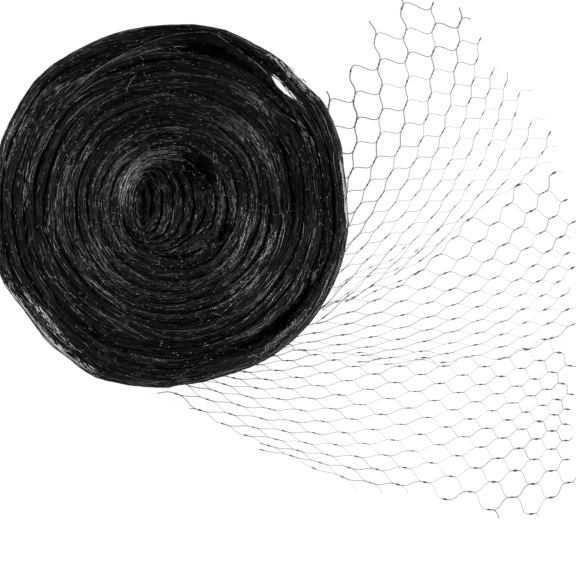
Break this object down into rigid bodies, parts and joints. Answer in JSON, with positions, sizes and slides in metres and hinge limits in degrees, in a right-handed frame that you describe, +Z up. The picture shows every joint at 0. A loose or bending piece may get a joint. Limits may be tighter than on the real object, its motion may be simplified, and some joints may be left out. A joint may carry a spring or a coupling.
{
  "type": "bird netting roll",
  "caption": "Black plastic bird netting wound flat into a dense disc, with its loose end fanned out beside it as open mesh",
  "frame": {"origin": "centre of the roll's flat underside, on the surface it lies on", "axes": "+Z up along the roll's axis, +X from the roll towards the fanned loose end, +Y across the fan"},
  "size_m": [0.3646, 0.3214, 0.0768],
  "materials": {
    "roll_netting": "near-black extruded polyethylene strands, semi-gloss, gathered so that they glint in streaks along the turns",
    "open_net": "near-black extruded polyethylene strands, semi-gloss, thin enough to look grey over a pale surface"
  },
  "bodies": {
    "root": {"roll": "roll_netting", "loose_end": "open_net"}
  },
  "joints": []
}
